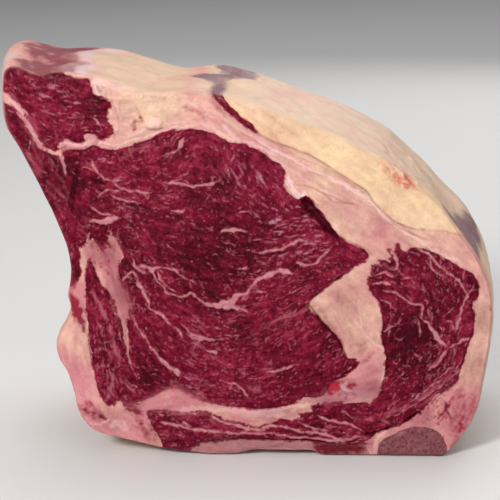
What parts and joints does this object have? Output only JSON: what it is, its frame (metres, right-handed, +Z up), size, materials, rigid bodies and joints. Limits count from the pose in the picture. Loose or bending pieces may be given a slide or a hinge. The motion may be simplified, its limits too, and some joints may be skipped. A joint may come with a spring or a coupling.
{
  "type": "raw beef rib roast",
  "caption": "Raw beef rib roast, cut straight through on both sides, with the rib eye, its smaller muscles, the fat between them, a fat cap and a piece of chine bone.",
  "frame": {"origin": "centre of the bounding box of the roast, on the plane it stands on", "axes": "+Z up; +X across the cut face, from the thin tail end to the rounded end; +Y from the front cut face to the back one"},
  "size_m": [0.2526, 0.1156, 0.1952],
  "materials": {
    "muscle": "moist, deep red, marbled with pale fat",
    "cream_fat": "waxy, cream to pale yellow",
    "pink_fat": "waxy, pink to cream",
    "membrane": "moist, thin and pale pink",
    "bone": "matt, dull red with fine dark pores"
  },
  "bodies": {
    "root": {"eye_muscle": "muscle", "cap_muscle": "muscle", "tail_muscle": "muscle", "side_muscle": "muscle", "strip_muscle": "muscle", "rib_muscle": "muscle", "seam_muscle": "muscle", "fat_cap": "cream_fat", "inner_fat": "pink_fat", "flank_fat": "pink_fat", "fat_kernel": "pink_fat", "rib_membrane": "membrane", "chine_bone": "bone"}
  },
  "joints": []
}
